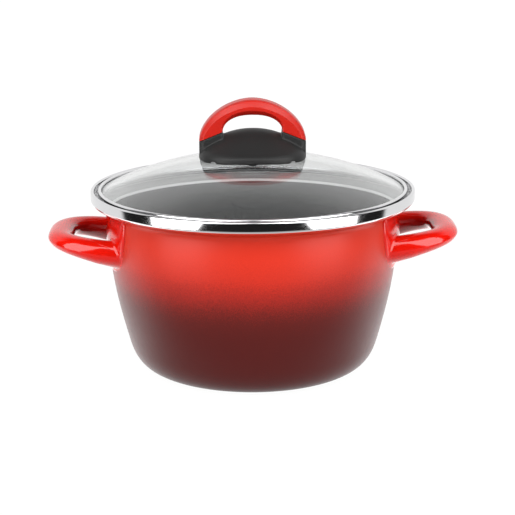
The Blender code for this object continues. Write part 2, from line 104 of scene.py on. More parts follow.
camera = bpy.data.objects.new("camera", bpy.data.cameras.new("camera"))
bpy.context.scene.collection.objects.link(camera)
camera.data.sensor_width = SENSOR
camera.data.lens = LENS
aim = Vector((AIM_SIDEWAYS, 0.0, AIM_HEIGHT))
backward = Vector((
    math.sin(CAMERA_AZIMUTH) * math.cos(CAMERA_ELEVATION),
    -math.cos(CAMERA_AZIMUTH) * math.cos(CAMERA_ELEVATION),
    math.sin(CAMERA_ELEVATION),
))
camera.location = aim + backward * CAMERA_DISTANCE
look = (-backward).to_track_quat("-Z", "Y").to_matrix().to_4x4()
roll = Vector((0.0, 0.0, -1.0))
camera.rotation_euler = (look @ look.Rotation(CAMERA_ROLL, 4, roll)).to_euler()
camera.data.clip_end = 50.0
bpy.context.scene.camera = camera
bpy.context.scene.view_settings.view_transform = "Standard"
print("camera at", [round(c, 3) for c in camera.location])

# %% [markdown]
# ## Shader maths as Python expressions
#
# Materials are small programs. Writing `1 - mask * 0.5` is far easier to read than three linked
# Math nodes, so a socket is wrapped in a class whose operators add the nodes. Every other node
# comes from one function that sets the node's own settings first and then its sockets. The same
# two helpers also serve the geometry trees further down.

# %% A wire that can be calculated with, and one way to add a node
class Wire:
    """An output socket that builds Math nodes when it is used in an expression."""

    def __init__(self, tree, socket):
        self.tree = tree
        self.socket = socket

    def maths(self, operation, *values):
        return add_node(self.tree, "ShaderNodeMath", {"operation": operation}, dict(enumerate(values)))

    def __add__(self, other):
        return self.maths("ADD", self, other)

    def __radd__(self, other):
        return self.maths("ADD", other, self)

    def __sub__(self, other):
        return self.maths("SUBTRACT", self, other)

    def __rsub__(self, other):
        return self.maths("SUBTRACT", other, self)

    def __mul__(self, other):
        return self.maths("MULTIPLY", self, other)

    def __rmul__(self, other):
        return self.maths("MULTIPLY", other, self)

    def __truediv__(self, other):
        return self.maths("DIVIDE", self, other)

    def __pow__(self, other):
        return self.maths("POWER", self, other)

    def clamp(self):
        return add_node(self.tree, "ShaderNodeClamp", {}, {0: self})

    def between(self, low, high):
        """0 below low, 1 above high, and a smooth step in between."""
        settings = {"interpolation_type": "SMOOTHSTEP"}
        return add_node(self.tree, "ShaderNodeMapRange", settings, {0: self, 1: low, 2: high})


def add_node(tree, kind, settings, sockets, outlet=0):
    """Add a node: settings first, then its sockets, each a value or a wire."""
    node = tree.nodes.new(kind)
    for key, value in settings.items():
        if key == "stops":
            ramp = node.color_ramp
            while len(ramp.elements) < len(value):
                ramp.elements.new(1.0)
            for element, (position, colour) in zip(ramp.elements, value):
                element.position = position
                element.color = (*colour, 1.0)
        elif key == "ramp_interpolation":
            node.color_ramp.interpolation = value
        else:
            setattr(node, key, value)
    for key, value in sockets.items():
        target = node.inputs[key]
        if isinstance(value, Wire):
            tree.links.new(value.socket, target)
        else:
            target.default_value = value
    return Wire(tree, node.outputs[outlet])


def mix_colours(tree, factor, first, second):
    """Blend two colours; the Mix node keeps them coloured where Math would turn them grey."""
    sockets = {"Factor_Float": factor, "A_Color": first, "B_Color": second}
    node = tree.nodes.new("ShaderNodeMix")
    node.data_type = "RGBA"
    for target in node.inputs:
        if target.identifier in sockets:
            value = sockets[target.identifier]
            if isinstance(value, Wire):
                tree.links.new(value.socket, target)
            else:
                target.default_value = value if target.identifier == "Factor_Float" else (*value, 1.0)
    result = [s for s in node.outputs if s.identifier == "Result_Color"][0]
    return Wire(tree, result)


class Finish:
    """A material with one Principled shader; plain numbers sit on its own sockets."""

    def __init__(self, name, **numbers):
        self.material = bpy.data.materials.new(name)
        self.material.use_nodes = True
        self.tree = self.material.node_tree
        self.shader = self.tree.nodes["Principled BSDF"]
        self.output = self.tree.nodes["Material Output"]
        for label, value in numbers.items():
            self.shader.inputs[label.replace("_", " ")].default_value = value
        self.place = add_node(self.tree, "ShaderNodeTexCoord", {}, {}, "Object")
        axes = self.tree.nodes.new("ShaderNodeSeparateXYZ")
        self.tree.links.new(self.place.socket, axes.inputs[0])
        self.x, self.y, self.z = (Wire(self.tree, axes.outputs[i]) for i in range(3))

    def noise(self, scale, detail=2.0, where=None, roughness=0.5):
        """Soft random values around 0.5; scale is in cells a metre."""
        sockets = {"Vector": where or self.place, "Scale": scale, "Detail": detail, "Roughness": roughness}
        return add_node(self.tree, "ShaderNodeTexNoise", {}, sockets, "Fac")

    def distance_from_axis(self):
        """Distance from the pot's axis, for finishes that were turned on a lathe."""
        return (self.x * self.x + self.y * self.y) ** 0.5

    def bump(self, height, depth, strength=1.0):
        """A Bump node on the shader's Normal; depth is in metres."""
        sockets = {"Strength": strength, "Distance": depth, "Height": height}
        bump = add_node(self.tree, "ShaderNodeBump", {}, sockets)
        self.tree.links.new(bump.socket, self.shader.inputs["Normal"])

    def feed(self, label, wire):
        self.tree.links.new(wire.socket, self.shader.inputs[label])


print("shader helpers ready")

# %% [markdown]
# ## Studio: surroundings and floor
#
# Glossy enamel and polished steel show their surroundings more than their own colour, so the
# studio is designed as what should be seen in them. Behind the pot is a white sweep. In front, on
# the camera's side, the room is dark. Between the two stands a tall softbox on each side, with a
# dark gap behind it. All of it is drawn on the world as bands of azimuth and elevation, which
# lights the pot without noise. The bands run on below the table, as they would in a glass table
# top, so a mirror-like ray goes straight through the floor while the camera sees white paper.

# %% Surroundings as bands of direction
world = bpy.data.worlds.new("studio")
bpy.context.scene.world = world
world.use_nodes = True
room = world.node_tree
direction = add_node(room, "ShaderNodeTexCoord", {}, {}, "Generated")
parts = room.nodes.new("ShaderNodeSeparateXYZ")
room.links.new(direction.socket, parts.inputs[0])
east, north, above = (Wire(room, parts.outputs[i]) for i in range(3))
DEGREE = math.pi / 180.0
azimuth = north.maths("ARCTAN2", east.maths("ABSOLUTE", east), north * -1.0)
elevation = above.maths("ARCSINE", above)


def band(angle, start, end, soft):
    """1 between two angles in degrees, with soft borders."""
    rise = angle.between((start - soft) * DEGREE, (start + soft) * DEGREE)
    fall = angle.between((end - soft) * DEGREE, (end + soft) * DEGREE)
    return rise * (1 - fall)


SOFTBOX_LIGHT = 4.7
SWEEP_LIGHT = 0.92
ROOM_LIGHT = 0.014
BOX_EDGE = 32 * DEGREE                             # inner upright edge of each softbox
BOX_LEAN = 0.55                                    # the boxes lean toward the camera at the top
inner_edge = BOX_EDGE - elevation * BOX_LEAN
boxes_start = (azimuth - inner_edge).between(-1.5 * DEGREE, 1.5 * DEGREE)
softboxes = boxes_start * band(azimuth, -9.0, 75.0, 1.5) * band(elevation, -45.0, 64.0, 3.0)
sweep_fades = elevation.between(38 * DEGREE, 60 * DEGREE)
sweep = azimuth.between(101 * DEGREE, 106 * DEGREE) * (1 - sweep_fades)
surroundings = softboxes * SOFTBOX_LIGHT + sweep * SWEEP_LIGHT + ROOM_LIGHT
path = room.nodes.new("ShaderNodeLightPath")
through_glass = Wire(room, path.outputs["Is Transmission Ray"])
seen = (Wire(room, path.outputs["Is Camera Ray"]) + through_glass).clamp()
strength = seen + (1 - seen) * surroundings
background = room.nodes["Background"]
background.inputs["Color"].default_value = (1.0, 1.0, 1.0, 1.0)
room.links.new(strength.socket, background.inputs["Strength"])
print("surroundings:", len(room.nodes), "nodes")

# %% Floor
FLOOR_HALF = 6.0
floor_mesh = bpy.data.meshes.new("studio_floor")
corners = [(-FLOOR_HALF, -FLOOR_HALF, 0.0), (FLOOR_HALF, -FLOOR_HALF, 0.0)]
corners += [(FLOOR_HALF, FLOOR_HALF, 0.0), (-FLOOR_HALF, FLOOR_HALF, 0.0)]
floor_mesh.from_pydata(corners, [], [(0, 1, 2, 3)])
floor = bpy.data.objects.new("studio_floor", floor_mesh)
bpy.context.scene.collection.objects.link(floor)
floor.location.z = cad_low.z - 0.0004

PAPER_GLOW = 0.94
PAPER_SHOWN = 1.04
WHITE = (1.0, 1.0, 1.0, 1.0)
TABLE_RADIUS = 0.42              # beyond it a mirror-like ray sees the room, not the paper
TABLE_IN_MIRROR = 0.50
TABLE_BEHIND = 1.8                # the paper is brighter beside and behind the pot
paper = bpy.data.materials.new("studio_paper")
paper.use_nodes = True
sheet = paper.node_tree
matt = sheet.nodes["Principled BSDF"]
matt.inputs["Base Color"].default_value = (0.60, 0.60, 0.60, 1.0)
matt.inputs["Roughness"].default_value = 0.9
glow = add_node(sheet, "ShaderNodeEmission", {}, {"Color": WHITE, "Strength": PAPER_SHOWN})
clear = add_node(sheet, "ShaderNodeBsdfTransparent", {}, {})
ray = sheet.nodes.new("ShaderNodeLightPath")
direct = Wire(sheet, ray.outputs["Is Camera Ray"]) + Wire(sheet, ray.outputs["Is Transmission Ray"])
mirrored = Wire(sheet, ray.outputs["Is Glossy Ray"]) * (1 - direct.clamp())


def blend_shaders(tree, factor, first, second):
    """Mix Shader of two shader outputs."""
    mixer = tree.nodes.new("ShaderNodeMixShader")
    tree.links.new(factor.socket, mixer.inputs[0])
    tree.links.new(first, mixer.inputs[1])
    tree.links.new(second, mixer.inputs[2])
    return mixer.outputs[0]


bright = blend_shaders(sheet, direct.clamp() * PAPER_GLOW, matt.outputs[0], glow.socket)
spot = add_node(sheet, "ShaderNodeTexCoord", {}, {}, "Object")
from_pot = add_node(sheet, "ShaderNodeVectorMath", {"operation": "LENGTH"}, {0: spot}, "Value")
spot_axes = sheet.nodes.new("ShaderNodeSeparateXYZ")
sheet.links.new(spot.socket, spot_axes.inputs[0])
behind = Wire(sheet, spot_axes.outputs[1]).between(-0.13, 0.01)
paper_light = TABLE_IN_MIRROR + behind * (TABLE_BEHIND - TABLE_IN_MIRROR)
pale = add_node(sheet, "ShaderNodeEmission", {}, {"Color": WHITE, "Strength": paper_light})
table_end = from_pot.between(TABLE_RADIUS * 0.9, TABLE_RADIUS * 1.1)
in_mirror = blend_shaders(sheet, table_end, pale.socket, clear.socket)
final = blend_shaders(sheet, mirrored, bright, in_mirror)
sheet.links.new(final, sheet.nodes["Material Output"].inputs["Surface"])
floor_mesh.materials.append(paper)
print("studio: two softboxes, a sweep and the floor")

# %% [markdown]
# ## A lathe made of Geometry Nodes
#
# Most of a pot is turned: shell, rims, glass, washers. Each of these pieces is one outline swept
# once around an axis, so one tree serves them all. It reads the outline as a chain of points,
# lays a grid over (turn, place along the outline) and wraps it round. Closing seams and poles is
# left to a merge at the end.

# %% Build the lathe tree
def new_tree(name, inputs):
    """An empty geometry tree with named inputs; returns it with its input wires by name."""
    tree = bpy.data.node_groups.new(name, "GeometryNodeTree")
    tree.interface.new_socket("Geometry", in_out="INPUT", socket_type="NodeSocketGeometry")
    for label, kind in inputs:
        tree.interface.new_socket(label, in_out="INPUT", socket_type=kind)
    tree.interface.new_socket("Geometry", in_out="OUTPUT", socket_type="NodeSocketGeometry")
    entry = tree.nodes.new("NodeGroupInput")
    wires = {socket.name: Wire(tree, socket) for socket in entry.outputs if socket.name}
    return tree, wires


def close_tree(tree, geometry, material):
    """Realize Instances, Set Material and the output."""
    real = add_node(tree, "GeometryNodeRealizeInstances", {}, {0: geometry})
    dressed = add_node(tree, "GeometryNodeSetMaterial", {}, {"Geometry": real, "Material": material})
    tree.links.new(dressed.socket, tree.nodes.new("NodeGroupOutput").inputs[0])


lathe_tree, lathe_in = new_tree("lathe", [
    ("Segments", "NodeSocketInt"),
    ("Rows", "NodeSocketInt"),
    ("Axis X", "NodeSocketFloat"),
    ("Material", "NodeSocketMaterial"),
])
grid = add_node(lathe_tree, "GeometryNodeMeshGrid", {}, {
    "Size X": 1.0, "Size Y": 1.0, "Vertices X": lathe_in["Segments"] + 1, "Vertices Y": lathe_in["Rows"],
})
index = add_node(lathe_tree, "GeometryNodeInputIndex", {}, {})
column = (index / lathe_in["Rows"]).maths("FLOOR", (index + 0.25) / lathe_in["Rows"])
row = index - column * lathe_in["Rows"]
here = add_node(lathe_tree, "GeometryNodeInputPosition", {}, {})
on_outline = add_node(
    lathe_tree, "GeometryNodeSampleIndex", {"data_type": "FLOAT_VECTOR", "domain": "POINT"},
    {"Geometry": lathe_in["Geometry"], "Value": here, "Index": row},
)
split = lathe_tree.nodes.new("ShaderNodeSeparateXYZ")
lathe_tree.links.new(on_outline.socket, split.inputs[0])
radius, height = Wire(lathe_tree, split.outputs[0]), Wire(lathe_tree, split.outputs[2])
turn = column * (2 * math.pi) / lathe_in["Segments"]
wrapped = add_node(lathe_tree, "ShaderNodeCombineXYZ", {}, {
    0: radius * turn.maths("COSINE", turn) + lathe_in["Axis X"],
    1: radius * turn.maths("SINE", turn),
    2: height,
})
moved = add_node(lathe_tree, "GeometryNodeSetPosition", {}, {"Geometry": grid, "Position": wrapped})
welding = {"Geometry": moved, "Distance": 0.000001}
welded = add_node(lathe_tree, "GeometryNodeMergeByDistance", {}, welding)
smooth = add_node(lathe_tree, "GeometryNodeSetShadeSmooth", {}, {"Geometry": welded})
close_tree(lathe_tree, smooth, lathe_in["Material"])
print("lathe tree:", len(lathe_tree.nodes), "nodes")

# %% Helpers that run a tree and tidy the mesh
def link_mesh(name, mesh):
    """A new object at the origin with this mesh."""
    obj = bpy.data.objects.new(name, mesh)
    bpy.context.scene.collection.objects.link(obj)
    return obj


def face_outward(mesh, sharp_angle):
    """Turn a closed mesh right side out and mark its sharp edges."""
    bm = bmesh.new()
    bm.from_mesh(mesh)
    if bm.calc_volume(signed=True) < 0.0:
        bmesh.ops.reverse_faces(bm, faces=bm.faces)
    bm.to_mesh(mesh)
    bm.free()
    mesh.shade_smooth()
    mesh.set_sharp_from_angle(angle=math.radians(sharp_angle))


def run_tree(name, mesh, tree, values, sharp_angle=40.0):
    """Run a geometry tree on a start mesh and keep the result as a plain mesh."""
    obj = link_mesh(name, mesh)
    modifier = obj.modifiers.new("make", "NODES")
    modifier.node_group = tree
    for item in tree.interface.items_tree:
        if item.in_out == "INPUT" and item.name in values:
            modifier[item.identifier] = values[item.name]
    graph = bpy.context.evaluated_depsgraph_get()
    made = bpy.data.meshes.new_from_object(obj.evaluated_get(graph))
    obj.modifiers.remove(modifier)
    obj.data = made
    made.name = name
    made.materials.clear()
    made.materials.append(values["Material"])
    made.polygons.foreach_set("material_index", [0] * len(made.polygons))
    face_outward(made, sharp_angle)
    return obj


def turned(name, outline, material, segments=224, axis_x=0.0, sharp_angle=40.0):
    """A turned piece from a closed outline of (radius, height) points."""
    points = [(r, 0.0, z) for r, z in outline + outline[:1]]
    mesh = bpy.data.meshes.new(name)
    mesh.from_pydata(points, [(i, i + 1) for i in range(len(points) - 1)], [])
    values = {"Segments": segments, "Rows": len(points), "Axis X": axis_x, "Material": material}
    return run_tree(name, mesh, lathe_tree, values, sharp_angle)


def rounded(corners, steps=6):
    """Closed outline through (x, y, corner radius) with every corner turned into an arc."""
    outline = []
    for i, (px, py, radius) in enumerate(corners):
        corner = Vector((px, py))
        before = Vector(corners[i - 1][:2])
        after = Vector(corners[(i + 1) % len(corners)][:2])
        back, ahead = before - corner, after - corner
        room_left = 0.49 * min(back.length, ahead.length)
        back.normalize()
        ahead.normalize()
        half = 0.5 * math.acos(max(-1.0, min(1.0, back.dot(ahead))))
        reach = min(radius / math.tan(half), room_left) if half < 1.57 else 0.0
        fitted = reach * math.tan(half)
        centre = corner
        if reach > 0.0:
            centre = corner + (back + ahead).normalized() * (fitted / math.sin(half))
        start, end = corner + back * reach - centre, corner + ahead * reach - centre
        for k in range(steps + 1):
            arm = start.lerp(end, k / steps)
            bends = reach > 0.0 and arm.length > 0.0
            arm = arm.normalized() * fitted if bends else Vector((0.0, 0.0))
            outline.append(tuple(centre + arm))
    return outline


def cubic(start, lead, trail, end, steps):
    """Points of a cubic curve, both ends included."""
    points = []
    for i in range(steps + 1):
        t = i / steps
        weights = ((1 - t) ** 3, 3 * t * (1 - t) ** 2, 3 * t * t * (1 - t), t ** 3)
        corners = (start, lead, trail, end)
        points.append(tuple(sum(w * c[k] for w, c in zip(weights, corners)) for k in (0, 1)))
    return points


def inset(points, distances):
    """Offset an open outline to its left by one distance for each point."""
    result = []
    for i, (r, z) in enumerate(points):
        before, after = points[max(i - 1, 0)], points[min(i + 1, len(points) - 1)]
        dr, dz = after[0] - before[0], after[1] - before[1]
        length = math.hypot(dr, dz)
        result.append((r - distances[i] * dz / length, z + distances[i] * dr / length))
    return result


def lofted(name, rings, material, sharp_angle=40.0):
    """A closed skin over rings with equal numbers of points, capped at both ends."""
    bm = bmesh.new()
    rows = [[bm.verts.new(point) for point in ring] for ring in rings]
    for first, second in zip(rows, rows[1:]):
        for i in range(len(first)):
            j = (i + 1) % len(first)
            bm.faces.new((first[i], first[j], second[j], second[i]))
    bm.faces.new(rows[0])
    bm.faces.new(rows[-1])
    bmesh.ops.recalc_face_normals(bm, faces=bm.faces)
    mesh = bpy.data.meshes.new(name)
    bm.to_mesh(mesh)
    bm.free()
    mesh.materials.append(material)
    face_outward(mesh, sharp_angle)
    return link_mesh(name, mesh)


def settle(piece, body, slot, *nodes):
    """Ride on a body and stand for CAD nodes, which are hidden; the slot argument is not used."""
    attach(piece, body)
    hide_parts(*nodes)
    size = [round(1000 * d, 1) for d in piece.dimensions]
    print(f"{piece.name}: {len(piece.data.polygons)} faces, {size} mm, for {', '.join(nodes)}")


# %% [markdown]
# ## Sprayed enamel
#
# The shell is dipped in ground enamel, then sprayed: bright red from the rim down, maroon from the
# foot up, with a soft overspray between them where single droplets still show. Enamel is a thin
# coat of glass, here fired to a satin sheen with a faint orange peel. The fade is a colour ramp on
# height, and fine noise pushes that height up and down so the change is made of specks.

# %% Body enamel, outside
FADE_LOW = 0.0215
FADE_HIGH = 0.1015
body_red = Finish("sprayed_body_enamel", Roughness=0.36, Specular_IOR_Level=0.30)
specks = body_red.noise(1400.0, 3.0)
clouds = body_red.noise(18.0, 2.0)
drift = (specks - 0.5) * 0.030 + (clouds - 0.5) * 0.006
fade = (body_red.z + drift - FADE_LOW) / (FADE_HIGH - FADE_LOW)
sprayed = add_node(
    body_red.tree, "ShaderNodeValToRGB",
    {"stops": [
        (0.00, (0.057, 0.0025, 0.0016)),
        (0.30, (0.064, 0.0028, 0.0018)),
        (0.44, (0.079, 0.0036, 0.0022)),
        (0.54, (0.130, 0.0055, 0.0028)),
        (0.63, (0.222, 0.0075, 0.0034)),
        (0.71, (0.275, 0.0095, 0.0038)),
        (0.80, (0.385, 0.0140, 0.0042)),
        (1.00, (0.470, 0.0185, 0.0048)),
    ]},
    {"Fac": fade}, "Color",
)
body_red.feed("Base Color", sprayed)
body_red.feed("Roughness", 0.33 + body_red.noise(240.0, 2.0) * 0.08)
body_red.bump(body_red.noise(420.0, 2.0) + specks * 0.3, 0.00006, 0.35)
print("body enamel fades over", round(1000 * (FADE_HIGH - FADE_LOW)), "mm of height")

# %% Inside enamel: dark, with painted shade low down, and a pale seat painted as reflection with two painted highlight rings
SEAT_PALE_FROM = 0.1122
SEAT_TOP_RING = 0.1184
inside_grey = Finish("inside_enamel", Roughness=0.2)
flecks = inside_grey.noise(900.0, 3.0).between(0.62, 0.70)
dark_enamel_and_painted_shade = mix_colours(inside_grey.tree, flecks, (0.053, 0.053, 0.054), (0.078, 0.078, 0.079))
# Painted shade: between about 66 and 86 mm of height the inside fades to near black, standing for the
# shade deep in the pot.
clear_of_painted_shade = inside_grey.z.between(0.066, 0.086)
dark_enamel_and_painted_shade = mix_colours(inside_grey.tree, clear_of_painted_shade, (0.010, 0.010, 0.010), dark_enamel_and_painted_shade)
# Painted reflection and highlights: the seat from SEAT_PALE_FROM up is painted pale grey for the bright
# surroundings it reflects, with two near-white rings standing for the highlights along its lower and upper
# edge.
on_seat = inside_grey.z.between(SEAT_PALE_FROM, SEAT_PALE_FROM + 0.0006)
painted_lower_ring_highlight = on_seat * inside_grey.z.between(SEAT_PALE_FROM + 0.0026, SEAT_PALE_FROM + 0.0018)
painted_top_ring_highlight = inside_grey.z.between(SEAT_TOP_RING, SEAT_TOP_RING + 0.0003)
painted_seat_reflection = mix_colours(inside_grey.tree, painted_lower_ring_highlight, (0.26, 0.26, 0.26), (0.95, 0.95, 0.95))
painted_seat_reflection = mix_colours(inside_grey.tree, painted_top_ring_highlight, painted_seat_reflection, (0.95, 0.95, 0.95))
inside_colour = mix_colours(inside_grey.tree, on_seat, dark_enamel_and_painted_shade, painted_seat_reflection)
inside_grey.feed("Base Color", inside_colour)
inside_grey.feed("Roughness", 0.20 + flecks * 0.10)
inside_grey.bump(inside_grey.noise(700.0, 2.0), 0.00002, 0.08)
print("enamels:", body_red.material.name, inside_grey.material.name)

# %% [markdown]
# ## The drawn shell
#
# The shell is pressed from one steel blank. Its wall flares from a rounded heel to a neck, turns
# out into the seat that carries the lid and ends in an upright lip. Two cubic curves give heel and
# wall, a third the seat; the inner face is the same line moved in by the wall's thickness.

# %% Turn the shell
shell_low, shell_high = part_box("pot_shell")
band_low, band_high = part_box("pot_rim_band")
RIM_TOP = band_high.z
LIP_TOP = shell_high.z
LIP_RADIUS = shell_high.x
ROUND_STEPS = 256                # steps around every large turned piece
WALL = 0.0016
LIP_WALL = 0.0010
BASE_RADIUS = 0.0542
HEEL = (0.0862, 0.0213)
HEEL_LEAN = math.radians(15.8)
NECK = (0.0990, 0.1118)
NECK_LEAN = math.radians(-3.0)
SEAT_TOP = 0.1196
RECESS_RADIUS, RECESS_DEPTH = 0.044, 0.0008


def outer_line():
    """Outer face of the shell from the standing ring to the lip's upper edge."""
    base = (BASE_RADIUS, shell_low.z)
    heel_down = (-math.sin(HEEL_LEAN), -math.cos(HEEL_LEAN))
    neck_down = (-math.sin(NECK_LEAN), -math.cos(NECK_LEAN))
    heel_span, wall_span = math.dist(base, HEEL), math.dist(HEEL, NECK)
    lead = (base[0] + 0.50 * heel_span, base[1])
    trail = tuple(HEEL[k] + 0.42 * heel_span * heel_down[k] for k in (0, 1))
    points = cubic(base, lead, trail, HEEL, 26)
    lead = tuple(HEEL[k] - 0.36 * wall_span * heel_down[k] for k in (0, 1))
    trail = tuple(NECK[k] + 0.36 * wall_span * neck_down[k] for k in (0, 1))
    points += cubic(HEEL, lead, trail, NECK, 34)[1:]
    lead, trail = (NECK[0], NECK[1] + 0.0068), (LIP_RADIUS, SEAT_TOP - 0.0034)
    points += cubic(NECK, lead, trail, (LIP_RADIUS, SEAT_TOP + 0.0012), 20)[1:]
    return points + [(LIP_RADIUS, LIP_TOP - 0.0006)]


wall_line = outer_line()
thickness = []
for _, z in wall_line:
    share = min(max((z - NECK[1]) / (SEAT_TOP - NECK[1]), 0.0), 1.0)
    thickness.append(WALL + (LIP_WALL - WALL) * share)
inner_line = inset(wall_line, thickness)
inner_line[-1] = (LIP_RADIUS - LIP_WALL, LIP_TOP - 0.0006)
lip_roll = [
    (LIP_RADIUS - LIP_WALL / 2 + LIP_WALL / 2 * math.cos(a), LIP_TOP - 0.0006 + 0.0006 * math.sin(a))
    for a in (math.pi * k / 8 for k in range(1, 8))
]
under = [(0.0, RECESS_DEPTH), (RECESS_RADIUS - 0.004, RECESS_DEPTH)]
under += cubic((RECESS_RADIUS - 0.001, RECESS_DEPTH), (RECESS_RADIUS + 0.001, RECESS_DEPTH),
               (RECESS_RADIUS + 0.002, 0.0), (RECESS_RADIUS + 0.004, 0.0), 8)
inside_middle = [(RECESS_RADIUS, RECESS_DEPTH + WALL), (0.0, RECESS_DEPTH + WALL)]
outline = under + wall_line + lip_roll + list(reversed(inner_line)) + inside_middle
shell = turned("enamelled_shell", outline, body_red.material, ROUND_STEPS)
shell.data.materials.append(inside_grey.material)
for face in shell.data.polygons:
    centre, normal = face.center, face.normal
    across = math.hypot(centre.x, centre.y)
    away = (normal.x * centre.x + normal.y * centre.y) / across if across > 0.0 else 0.0
    face.material_index = 1 if away - normal.z < 0.0 else 0
settle(shell, "pot", "body_enamel", "pot_shell")


def wall_radius(height):
    """Radius of the shell's outer face at a height."""
    for (r0, z0), (r1, z1) in zip(wall_line, wall_line[1:]):
        if z0 <= height <= z1 and z1 > z0:
            return r0 + (r1 - r0) * (height - z0) / (z1 - z0)
    return NECK[0]


# %% [markdown]
# ## Polished steel bands
#
# Enamel chips at a raw edge, so a thin stainless channel is rolled over the lip, and a second one
# holds the edge of the glass. Both are polished while they spin, which leaves hair lines that run
# round the band: the noise is read at (radius, height) only, so it never changes along the turn.

# %% Polished steel
polished = Finish("polished_band_steel", Metallic=1.0, Roughness=0.10)
spun_place = {0: polished.distance_from_axis(), 2: polished.z}
spun = add_node(polished.tree, "ShaderNodeCombineXYZ", {}, spun_place)
hairlines = polished.noise(9000.0, 2.0, spun)
smudges = polished.noise(30.0, 3.0)
steel_colour = mix_colours(polished.tree, smudges, (0.80, 0.80, 0.81), (0.72, 0.72, 0.73))
polished.feed("Base Color", steel_colour)
polished.feed("Roughness", 0.05 + hairlines * 0.06 + smudges * 0.04)
polished.bump(hairlines, 0.000004, 0.5)
print("steel:", polished.material.name)

# %% Roll the rim band
RIM_RADIUS = band_high.x
RIM_FOOT = band_low.z
SHEET = 0.00045
rim_inner = LIP_RADIUS - LIP_WALL - 0.0003 - SHEET
rim_outline = rounded([
    (RIM_RADIUS - 0.0009, RIM_FOOT, 0.0004),
    (RIM_RADIUS, RIM_FOOT + 0.0010, 0.0012),
    (RIM_RADIUS, RIM_TOP, 0.0012),
    (rim_inner, RIM_TOP, 0.0011),
    (rim_inner, RIM_TOP - 0.0052, 0.0002),
    (rim_inner + SHEET, RIM_TOP - 0.0052, 0.0002),
    (rim_inner + SHEET, RIM_TOP - SHEET, 0.0007),
    (RIM_RADIUS - SHEET, RIM_TOP - SHEET, 0.0007),
    (RIM_RADIUS - SHEET, RIM_FOOT + 0.0011, 0.0009),
    (RIM_RADIUS - 0.0009 - SHEET * 0.6, RIM_FOOT + SHEET * 0.4, 0.0001),
])
rim = turned("rolled_rim_band", rim_outline, polished.material, ROUND_STEPS)
settle(rim, "pot", "rim_steel", "pot_rim_band")

# %% [markdown]
# ## Tempered glass
#
# The lid is a shallow dome pressed from four millimetres of soda-lime glass. Two concentric
# spheres give its faces; the edge and the screw hole are ground round. In the shader the glass is
# clear to lamps: on shadow rays it turns into a plain tinted sheet, so the inside stays lit.

# %% Glass finish
def clear_glass(name, tint):
    """Glass that lets lamp light through without noise."""
    glass = Finish(name, Transmission_Weight=1.0, IOR=1.5, Roughness=0.0)
    glass.shader.inputs["Base Color"].default_value = (*tint, 1.0)
    smears = glass.noise(25.0, 3.0).between(0.45, 0.75)
    glass.feed("Roughness", smears * 0.004)
    light_path = glass.tree.nodes.new("ShaderNodeLightPath")
    sheet = add_node(glass.tree, "ShaderNodeBsdfTransparent", {}, {"Color": (*tint, 1.0)})
    mixer = glass.tree.nodes.new("ShaderNodeMixShader")
    glass.tree.links.new(light_path.outputs["Is Shadow Ray"], mixer.inputs[0])
    glass.tree.links.new(glass.shader.outputs[0], mixer.inputs[1])
    glass.tree.links.new(sheet.socket, mixer.inputs[2])
    glass.tree.links.new(mixer.outputs[0], glass.output.inputs["Surface"])
    return glass


lid_glass_finish = clear_glass("lid_glass_clear", (0.955, 0.965, 0.962))
print("glass:", lid_glass_finish.material.name)

# %% Press the dome
_, glass_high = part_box("lid_glass")
GLASS_EDGE = glass_high.x
GLASS_SPHERE = 0.2380
GLASS_THICK = 0.0040
HOLE = 0.0050
GLASS_APEX = glass_high.z + GLASS_SPHERE - math.sqrt(GLASS_SPHERE ** 2 - HOLE ** 2)


def dome(r, depth=0.0):
    """Height of the glass at a radius, on a face this deep under its outer one."""
    return GLASS_APEX - GLASS_SPHERE + math.sqrt((GLASS_SPHERE - depth) ** 2 - r * r)


def dome_corner(r, depth, radius):
    return (r, dome(r, depth), radius)


DOME_STEPS, EDGE_STEPS, HOLE_STEPS = 40, 8, 5
edge = rounded([
    dome_corner(GLASS_EDGE - 0.004, 0.0, 0.0),
    dome_corner(GLASS_EDGE, 0.0, 0.0013),
    dome_corner(GLASS_EDGE, GLASS_THICK, 0.0013),
    dome_corner(GLASS_EDGE - 0.004, GLASS_THICK, 0.0),
], EDGE_STEPS)[EDGE_STEPS + 1:3 * (EDGE_STEPS + 1)]
hole = rounded([
    dome_corner(HOLE + 0.003, GLASS_THICK, 0.0),
    dome_corner(HOLE, GLASS_THICK, 0.0006),
    dome_corner(HOLE, 0.0, 0.0006),
    dome_corner(HOLE + 0.003, 0.0, 0.0),
], HOLE_STEPS)[HOLE_STEPS + 1:3 * (HOLE_STEPS + 1)]
first_r, last_r = HOLE + 0.002, GLASS_EDGE - 0.003
radii = [first_r + (last_r - first_r) * k / DOME_STEPS for k in range(DOME_STEPS + 1)]
upper = [(r, dome(r)) for r in radii]
lower = [(r, dome(r, GLASS_THICK)) for r in reversed(radii)]
glass_outline = upper + edge + lower + hole
glass_lid = turned(
    "domed_glass", glass_outline, lid_glass_finish.material, ROUND_STEPS, sharp_angle=60.0)
settle(glass_lid, "lid", "lid_glass", "lid_glass")

